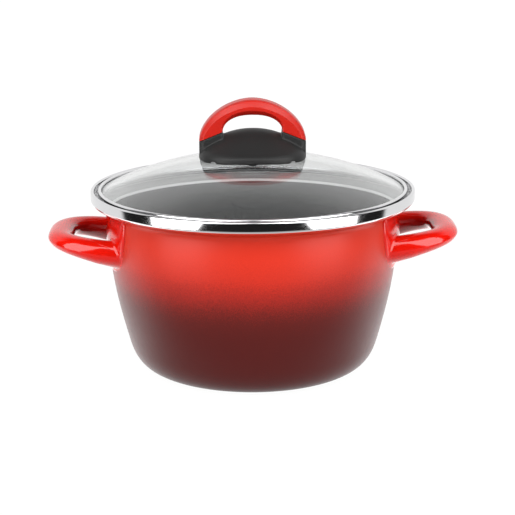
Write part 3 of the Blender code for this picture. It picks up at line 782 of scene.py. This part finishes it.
# %% Roll the lid band
lid_band_low, lid_band_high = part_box("lid_band")
LID_R = lid_band_high.x
LID_TOP = lid_band_high.z
LID_FOOT = lid_band_low.z
LID_SHEET = 0.0005
LID_LIP = 0.1037
shelf = dome(LID_LIP, GLASS_THICK) - 0.0009
lid_band_outline = rounded([
    (LID_R - 0.0004, LID_FOOT, 0.0003),
    (LID_R, LID_FOOT + 0.0006, 0.0006),
    (LID_R, LID_TOP, 0.0011),
    (LID_LIP, LID_TOP, 0.0009),
    (LID_LIP - 0.0001, dome(LID_LIP) + 0.00015, 0.0002),
    (LID_LIP + LID_SHEET, dome(LID_LIP) + 0.00025, 0.0001),
    (LID_LIP + LID_SHEET, LID_TOP - LID_SHEET, 0.0004),
    (LID_R - LID_SHEET, LID_TOP - LID_SHEET, 0.0006),
    (LID_R - LID_SHEET, shelf, 0.0002),
    (LID_LIP, shelf, 0.0002),
    (LID_LIP, shelf - LID_SHEET, 0.0002),
    (LID_R - LID_SHEET * 2.2, shelf - LID_SHEET, 0.0004),
    (LID_R - LID_SHEET * 2.2, LID_FOOT, 0.0003),
])
lid_band = turned("rolled_lid_band", lid_band_outline, polished.material, ROUND_STEPS)
settle(lid_band, "lid", "rim_steel", "lid_band")

# %% [markdown]
# ## Gloss enamel and the tube handles
#
# Each handle is an oval steel tube bent into a bow, welded to a pressed plate that follows the
# wall, and enamelled with it in one coat. The coat runs smoothly over the weld, so the tube's foot
# opens in a hollow fillet until it lies flat on the plate. The plate is modelled as thickness over
# the wall that falls to nothing at its outline; the same field tells the fillet where to land.

# %% Gloss enamel
gloss_red = Finish("gloss_handle_enamel", Roughness=0.10, Coat_Weight=0.0)
pooling = gloss_red.noise(60.0, 2.0)
unshaded_handle_red = mix_colours(gloss_red.tree, pooling, (0.55, 0.0065, 0.0020), (0.48, 0.0045, 0.0015))
# Painted shade: enamel faces inside each handle loop that turn toward the loop's centre line are darkened
# toward a deep red, standing for the shade the arms cast into the loop.
LOOP_CENTRE = 0.1150
outward = gloss_red.tree.nodes.new("ShaderNodeNewGeometry")
facing = gloss_red.tree.nodes.new("ShaderNodeSeparateXYZ")
gloss_red.tree.links.new(outward.outputs["Normal"], facing.inputs[0])
face_x, face_y = (Wire(gloss_red.tree, facing.outputs[i]) for i in range(2))
right_side = gloss_red.x.between(-0.001, 0.001)
to_centre_x = (right_side * 2 - 1) * LOOP_CENTRE - gloss_red.x
to_centre_y = gloss_red.y * -1
reach = (to_centre_x * to_centre_x + to_centre_y * to_centre_y + 0.000001) ** 0.5
painted_loop_shade = ((face_x * to_centre_x + face_y * to_centre_y) / reach).between(0.25, 0.85)
LOOP_SHADE_RED = (0.20, 0.0015, 0.0010)
gloss_red.feed("Base Color", mix_colours(gloss_red.tree, painted_loop_shade, unshaded_handle_red, LOOP_SHADE_RED))
gloss_red.feed("Roughness", 0.07 + pooling * 0.06)
gloss_red.bump(gloss_red.noise(260.0, 1.0), 0.00008, 0.25)
# The painted shade inside the loops is aimed at this distance from the axis.
print("handle enamel thins toward", LOOP_CENTRE, "m from the axis")

# %% The plate as a field of thickness
PLATE_TOP = 0.1150
PLATE_DROP = 0.0435             # height of its outline, half a superellipse
PLATE_FOOT = 0.0755             # cut straight here
PLATE_HALF = 0.0536             # half width along the wall
PLATE_POWER = 2.6
PLATE_THICK = 0.00175
PLATE_SOFT = 0.0040             # width of its rounded border
PLATE_SUNK = 0.00025
COVE_GAP = 0.0003               # the plate ends this far under the rim's cove


def plate_half(height):
    """Half width of the plate along the wall at a height."""
    t = min(max((PLATE_TOP - height) / PLATE_DROP, 0.0), 1.0)
    return PLATE_HALF * (1.0 - t ** PLATE_POWER) ** (1.0 / PLATE_POWER)


def plate_low(along):
    """Lowest height of the plate at a distance along the wall."""
    t = min(abs(along) / PLATE_HALF, 1.0)
    return max(PLATE_TOP - PLATE_DROP * (1.0 - t ** PLATE_POWER) ** (1.0 / PLATE_POWER), PLATE_FOOT)


def plate_rise(along, height):
    """Thickness of the plate over the wall; slightly negative outside its outline."""
    sideways = plate_half(height) - abs(along)
    upwards = height - plate_low(along)
    if sideways <= 0.0 or upwards <= 0.0:
        return -PLATE_SUNK
    inward = sideways * upwards / math.hypot(sideways, upwards)
    share = 1.0 - min(inward / PLATE_SOFT, 1.0)
    rise = (PLATE_THICK + PLATE_SUNK) * math.sqrt(1.0 - share * share) - PLATE_SUNK
    under_cove = NECK[0] + PLATE_THICK + COVE_GAP - wall_radius(height)
    return max(min(rise, under_cove), -PLATE_SUNK)


def on_wall(along, height, lift):
    """Point over the wall, at a distance along it from the X axis."""
    angle = along / wall_radius(height)
    r = wall_radius(height) + lift
    return (r * math.cos(angle), r * math.sin(angle), height)


# %% Press the plates
PLATE_COLUMNS, PLATE_ROWS = 72, 36
PLATE_UPPER = 0.1160
plate_widest = plate_half(PLATE_TOP - 0.006)


def build_plate(name, side):
    """One plate; side is +1 for the right handle and -1 for the left."""
    bm = bmesh.new()
    grids = []
    for outer in (False, True):
        grid_points = []
        for i in range(PLATE_COLUMNS + 1):
            along = plate_widest * math.sin((2.0 * i / PLATE_COLUMNS - 1.0) * math.pi / 2.0)
            low = plate_low(along)
            line = []
            for j in range(PLATE_ROWS + 1):
                share = 1.0 - math.cos(j / PLATE_ROWS * math.pi / 2.0)
                height = low + (PLATE_UPPER - low) * share
                lift = plate_rise(along, height) if outer else -2.0 * PLATE_SUNK
                x, y, z = on_wall(along, height, lift)
                line.append(bm.verts.new((side * x, y, z)))
            grid_points.append(line)
        for first, second in zip(grid_points, grid_points[1:]):
            for j in range(PLATE_ROWS):
                bm.faces.new((first[j], first[j + 1], second[j + 1], second[j]))
        grids.append(grid_points)
    loops = []
    for g in grids:
        lower_side = [line[0] for line in g]
        upper_side = [line[-1] for line in g[-2::-1]]
        loops.append(lower_side + g[-1][1:] + upper_side + g[0][-2:0:-1])
    near, far = loops
    for i in range(len(near)):
        j = (i + 1) % len(near)
        bm.faces.new((near[i], near[j], far[j], far[i]))
    bmesh.ops.recalc_face_normals(bm, faces=bm.faces)
    mesh = bpy.data.meshes.new(name)
    bm.to_mesh(mesh)
    bm.free()
    mesh.materials.append(gloss_red.material)
    face_outward(mesh, 50.0)
    return link_mesh(name, mesh)


for label, side in (("left", -1.0), ("right", 1.0)):
    settle(build_plate(f"{label}_plate", side), "pot", "handle_enamel", f"{label}_handle_saddle")

# %% Bend the bows
_, bow_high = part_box("right_handle_bow")
TUBE_HALF_WIDTH = 0.0088
TUBE_HALF_HEIGHT = (0.0092, 0.0056)     # at the wall, at the tip
BOW_HEIGHT = (0.0889, 0.0966)           # at the wall, at the tip
BOW_RISE = 0.8
BOW_LIFT = 0.0007                       # the right bow is this much high, the left this much low
BOW_HALF_SPAN = 0.0352
BOW_ROOT = 0.0950
BOW_POWERS = (2.35, 3.33)
BOW_TIP = bow_high.x - TUBE_HALF_WIDTH
FILLET = 0.0018
AROUND = 56


def bow_centre(t):
    """Centre of the tube and its half height, for t from -1 to 1."""
    bend = t * math.pi / 2.0
    share = max(math.cos(bend), 0.0) ** (2.0 / BOW_POWERS[0])
    x = BOW_ROOT + (BOW_TIP - BOW_ROOT) * share
    y = BOW_HALF_SPAN * math.copysign(abs(math.sin(bend)) ** (2.0 / BOW_POWERS[1]), math.sin(bend))
    z = BOW_HEIGHT[0] + (BOW_HEIGHT[1] - BOW_HEIGHT[0]) * share ** BOW_RISE
    tall = TUBE_HALF_HEIGHT[0] + (TUBE_HALF_HEIGHT[1] - TUBE_HALF_HEIGHT[0]) * share
    return Vector((x, y, z)), tall


def tube_ring(t):
    """Oval ring around the bow's path."""
    centre, tall = bow_centre(t)
    ahead = bow_centre(t + 0.004)[0] - bow_centre(t - 0.004)[0]
    sideways = Vector((ahead.y, -ahead.x, 0.0)).normalized()
    ring = []
    for k in range(AROUND):
        a = 2.0 * math.pi * k / AROUND
        upward = Vector((0, 0, tall * math.sin(a)))
        ring.append(centre + sideways * (TUBE_HALF_WIDTH * math.cos(a)) + upward)
    return ring


def foot_ring(end, lift_angle, rise):
    """Ring of the fillet; lift_angle runs from 0 on the plate to a right angle on the tube."""
    spread = FILLET * (1.0 - math.sin(lift_angle))
    lift = FILLET * (1.0 - math.cos(lift_angle))
    start = bow_centre(0.97 * end)[0]
    ring = []
    for k in range(AROUND):
        a = 2.0 * math.pi * k / AROUND
        wide = (TUBE_HALF_WIDTH + spread) * math.cos(a) * (-1.0 if end < 0.0 else 1.0)
        y = start.y + wide
        z = start.z + rise + (TUBE_HALF_HEIGHT[0] + spread) * math.sin(a)
        r = wall_radius(z)
        along = r * math.asin(y / r)
        r += plate_rise(along, z) + lift
        ring.append(Vector((math.sqrt(r * r - y * y), y, z)))
    return ring


def build_bow(name, side):
    """One bow with a fillet at both feet."""
    first_t, stations, foot_steps, bridge = 0.86, 84, 8, 4
    rise = side * BOW_LIFT
    lift = Vector((0.0, 0.0, rise))
    rings = []
    turns = [first_t * (2.0 * i / stations - 1.0) for i in range(stations + 1)]
    sweep_rings = [[point + lift for point in tube_ring(t)] for t in turns]
    for end, joint in ((-1.0, sweep_rings[0]), (1.0, sweep_rings[-1])):
        part = [foot_ring(end, math.pi / 2.0 * i / foot_steps, rise) for i in range(foot_steps + 1)]
        for i in range(1, bridge):
            part.append([p.lerp(q, i / bridge) for p, q in zip(part[foot_steps], joint)])
        rings.append(part)
    chain = rings[0] + sweep_rings + rings[1][::-1]
    chain = [[(side * p.x, p.y, p.z) for p in ring] for ring in chain]
    return lofted(name, chain, gloss_red.material, 60.0)


for label, side in (("left", -1.0), ("right", 1.0)):
    settle(build_bow(f"{label}_tube_bow", side), "pot", "handle_enamel", f"{label}_handle_bow")

# %% [markdown]
# ## The knob
#
# The knob is two mouldings. A black foot rests on the glass: an oval skirt, a domed crest and two
# legs. A red arch sits on the legs and is what the hand takes. The foot is put together from a
# domed body and two leg blocks, then remeshed finely and smoothed a little, so the inner corners
# get the small fillets that a mould has.

# %% Moulded plastics
moulded_black = Finish("moulded_black", Roughness=0.5, Specular_IOR_Level=0.22)
grain = moulded_black.noise(2600.0, 2.0)
BLACK, WORN_BLACK = (0.009, 0.009, 0.009), (0.015, 0.015, 0.015)
moulded_black.feed("Base Color", mix_colours(moulded_black.tree, grain, BLACK, WORN_BLACK))
moulded_black.feed("Roughness", 0.42 + grain * 0.12)
moulded_black.bump(grain, 0.00004, 0.6)

soft_red = Finish("soft_touch_red", Roughness=0.36, Specular_IOR_Level=0.30)
fine = soft_red.noise(2200.0, 2.0)
RED, DEEP_RED = (0.40, 0.0075, 0.0020), (0.33, 0.0055, 0.0015)
soft_red.feed("Base Color", mix_colours(soft_red.tree, fine, RED, DEEP_RED))
soft_red.feed("Roughness", 0.31 + fine * 0.08)
print("plastics:", moulded_black.material.name, soft_red.material.name)
soft_red.bump(fine, 0.00003, 0.5)

# %% Shape of the arch, shared by the legs
arch_low, arch_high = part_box("knob_arch")
_, base_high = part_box("knob_base")
ARCH_OUT = arch_high.x
ARCH_TOP = arch_high.z
JOINT_OUTER = arch_low.z
JOINT_INNER = 0.1671
ARCH_INNER = 0.0202
ARCH_OPENING_TOP = 0.1779
ARCH_HALF_DEPTH = arch_high.y
JOINT_GAP = 0.0003


def arch_section(span, bevel, chamfer, depth):
    """Section of the grip: chamfered inside, straight flanks, a crease and a rounded back."""
    half = [
        (0.0, depth - 1.1 * chamfer, 0.0012),
        (chamfer, depth, 0.0010),
        (span - bevel, depth * 0.985, 0.0006),
        (span - bevel * 0.15, depth - bevel * 0.66, 0.0014),
        (span, depth - bevel * 1.15, 0.0020),
    ]
    return rounded(half + [(u, -v, r) for u, v, r in reversed(half)], 5)


def arch_ring(t):
    """Ring of the arch; t runs from the left leg over the top to the right leg."""
    side = -1.0 if t < 0.5 else 1.0
    bend = (1.0 - abs(2.0 * t - 1.0)) * math.pi / 2.0
    outer_x = ARCH_OUT * math.cos(bend) ** 1.08
    outer_z = JOINT_OUTER + (ARCH_TOP - JOINT_OUTER) * math.sin(bend) ** 1.15
    inner_x = ARCH_INNER * math.cos(bend) ** 0.85
    inner_z = JOINT_INNER + (ARCH_OPENING_TOP - JOINT_INNER) * math.sin(bend)
    span = math.hypot(outer_x - inner_x, outer_z - inner_z)
    bevel = 0.0030 + 0.0014 * min(math.sin(bend) * 2.0, 1.0)
    chamfer = 0.0006 + 0.0026 * math.sin(bend)
    ring = []
    for u, v in arch_section(span, bevel, chamfer, ARCH_HALF_DEPTH):
        share = u / span
        x = side * (inner_x + (outer_x - inner_x) * share)
        ring.append((x, v, inner_z + (outer_z - inner_z) * share))
    return ring


ARCH_STEPS = 120
arch_rings = [arch_ring(i / ARCH_STEPS) for i in range(ARCH_STEPS + 1)]
arch = lofted("red_arch", arch_rings, soft_red.material, 60.0)
settle(arch, "lid", "knob_red", "knob_arch")

# %% Body of the foot
FOOT_X, FOOT_Y, FOOT_POWER = 0.0366, 0.0316, 2.4
SKIRT = 0.0050
SHOULDER = 0.1527
CREST = base_high.z
CLEAR = 0.0004


def foot_outline(angle, grow=0.0):
    """Point on the foot's oval outline."""
    c, s = math.cos(angle), math.sin(angle)
    power = 2.0 / FOOT_POWER
    x = (FOOT_X + grow) * math.copysign(abs(c) ** power, c)
    y = (FOOT_Y + grow) * math.copysign(abs(s) ** power, s)
    return x, y


def crest_height(share, angle):
    """Height of the domed top from its middle (0) to the shoulder (1); steeper at the legs."""
    fullness = 0.72 + 0.50 * math.sin(angle) ** 2
    return SHOULDER + (CREST - SHOULDER) * math.cos(share * math.pi / 2.0) ** fullness


FOOT_SEGMENTS = 160
HOLLOW = 0.0009                  # the foot is hollowed this much over the glass
foot_angles = [2 * math.pi * k / FOOT_SEGMENTS for k in range(FOOT_SEGMENTS)]
rings = []
for share in (0.02, 0.35, 0.7, 0.94):
    ring = []
    for x, y in (foot_outline(angle) for angle in foot_angles):
        under_foot = dome(math.hypot(x, y) * share) + CLEAR + HOLLOW
        ring.append((x * share, y * share, under_foot))
    rings.append(ring)
for share, lift in ((0.975, 0.0), (1.0, 0.0006), (0.998, 0.0025), (0.990, SKIRT - 0.0006)):
    ring = []
    for angle in foot_angles:
        x, y = foot_outline(angle)
        low = dome(math.hypot(x, y)) + CLEAR
        top = SHOULDER - 0.0003
        ring.append((x * share, y * share, low + (top - low) * lift / SKIRT))
    rings.append(ring)
CREST_STEPS, CREST_EDGE = 25, 0.982
for k in range(1, CREST_STEPS):
    share = CREST_EDGE * (1.0 - k / CREST_STEPS)
    ring = []
    for angle in foot_angles:
        x, y = foot_outline(angle)
        ring.append((x * share, y * share, crest_height(share / CREST_EDGE * 0.995, angle)))
    rings.append(ring)
foot = lofted("black_foot", rings, moulded_black.material, 60.0)
print("foot body:", len(rings), "rings of", FOOT_SEGMENTS, "points")


# %% Legs, joined and smoothed into the foot
LEG_ROOT = 0.1505                # the legs start this high, inside the foot
LEG_ROOT_INNER, LEG_ROOT_OUTER = 0.0175, FOOT_X - 0.0003


def leg_rings(side):
    """Rings of one leg, from inside the foot up to the sloping joint."""
    top = [(side * abs(x), y, z - JOINT_GAP) for x, y, z in arch_ring(0.0)]
    result = []
    for share in (0.0, 0.3, 0.55, 0.75, 0.9, 1.0):
        ring = []
        for x, y, z in top:
            u = (abs(x) - ARCH_INNER) / (ARCH_OUT - ARCH_INNER)
            low_x = LEG_ROOT_INNER + (LEG_ROOT_OUTER - LEG_ROOT_INNER) * u
            ease = 1.0 - (1.0 - share) ** 2
            px = low_x + (abs(x) - low_x) * (share if u > 0.5 else ease)
            height = LEG_ROOT + (z - LEG_ROOT) * share
            ring.append((side * px, y * (1.04 - 0.04 * share), height))
        result.append(ring)
    return result


def combine(target, operation, others):
    """Boolean of closed meshes, then drop the helpers."""
    for other in others:
        modifier = target.modifiers.new("join", "BOOLEAN")
        modifier.operation = operation
        modifier.solver = "EXACT"
        modifier.object = other
        graph = bpy.context.evaluated_depsgraph_get()
        joined = bpy.data.meshes.new_from_object(target.evaluated_get(graph))
        target.modifiers.remove(modifier)
        target.data = joined
        bpy.data.objects.remove(other)


legs = [lofted("leg", leg_rings(side), moulded_black.material) for side in (-1.0, 1.0)]
combine(foot, "UNION", legs)
NOTCH_X, NOTCH_HALF, NOTCH_TALL = 0.0266, 0.0017, 0.0015
VOXEL = 0.00042
SOFTENING = 12
notches = []
for side in (-1.0, 1.0):
    low = dome(math.hypot(NOTCH_X, 0.024)) + CLEAR
    corners = [(-1.0, -0.004), (1.0, -0.004), (1.0, NOTCH_TALL), (-1.0, NOTCH_TALL)]
    ends = []
    for y in (-0.05, 0.05):
        ends.append([(side * NOTCH_X + u * NOTCH_HALF, y, low + v) for u, v in corners])
    notches.append(lofted("notch", ends, moulded_black.material))
combine(foot, "DIFFERENCE", notches)
remesh = foot.modifiers.new("remesh", "REMESH")
remesh.mode = "VOXEL"
remesh.voxel_size = VOXEL
soften = foot.modifiers.new("soften", "SMOOTH")
soften.factor = 0.5
soften.iterations = SOFTENING
graph = bpy.context.evaluated_depsgraph_get()
foot.data = bpy.data.meshes.new_from_object(foot.evaluated_get(graph))
foot.modifiers.clear()
foot.data.materials.clear()
foot.data.materials.append(moulded_black.material)
face_outward(foot.data, 70.0)
settle(foot, "lid", "knob_black", "knob_base")

# %% [markdown]
# ## Hardware under the glass
#
# Looking down through the glass one sees what holds the knob: a slotted screw, a washer and a
# silicone ring. They are small, but they are real pieces and the lid would look empty without
# them.

# %% Small finishes and turned parts
machined = Finish("machined_screw_steel", Metallic=1.0, Roughness=0.25)
cut_place = {0: machined.distance_from_axis(), 2: machined.z}
rings_cut = add_node(machined.tree, "ShaderNodeCombineXYZ", {}, cut_place)
tool_marks = machined.noise(6000.0, 2.0, rings_cut)
screw_colour = mix_colours(machined.tree, tool_marks, (0.66, 0.66, 0.67), (0.55, 0.55, 0.56))
machined.feed("Base Color", screw_colour)
machined.feed("Roughness", 0.18 + tool_marks * 0.15)

rubber = Finish("silicone_ring", Roughness=0.55)
bloom = rubber.noise(700.0, 2.0)
rubber.feed("Base Color", mix_colours(rubber.tree, bloom, (0.30, 0.30, 0.30), (0.36, 0.36, 0.35)))
rubber.feed("Roughness", 0.5 + bloom * 0.15)

turned_brass = Finish("turned_brass", Metallic=1.0, Roughness=0.3)
brass_marks = turned_brass.noise(4000.0, 2.0)
YELLOW, DULL_YELLOW = (0.75, 0.55, 0.25), (0.66, 0.46, 0.18)
turned_brass.feed("Base Color", mix_colours(turned_brass.tree, brass_marks, YELLOW, DULL_YELLOW))
turned_brass.feed("Roughness", 0.25 + brass_marks * 0.12)


def flat_ring(node, hole_radius, softness):
    """Outline of a flat ring in the box of a CAD node."""
    low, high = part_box(node)
    return rounded([
        (hole_radius, low.z, softness), (high.x, low.z, softness),
        (high.x, high.z, softness), (hole_radius, high.z, softness),
    ], 4)


SHANK = 0.0024
for node, name, slot, finish, soft in (
    ("upper_gasket", "upper_silicone_ring", "silicone", rubber, 0.0004),
    ("lower_gasket", "lower_silicone_ring", "silicone", rubber, 0.0004),
    ("screw_washer", "steel_washer", "screw_steel", machined, 0.0002),
    ("knob_insert", "brass_insert", "brass", turned_brass, 0.0003),
):
    piece = turned(name, flat_ring(node, SHANK + 0.0003, soft), finish.material, 96)
    settle(piece, "lid", slot, node)

for node in ("knob_screw", "arch_screw_left", "arch_screw_right"):
    for material_slot in frame["nodes"][node].material_slots:
        material_slot.material = machined.material
    print("carried over:", node)
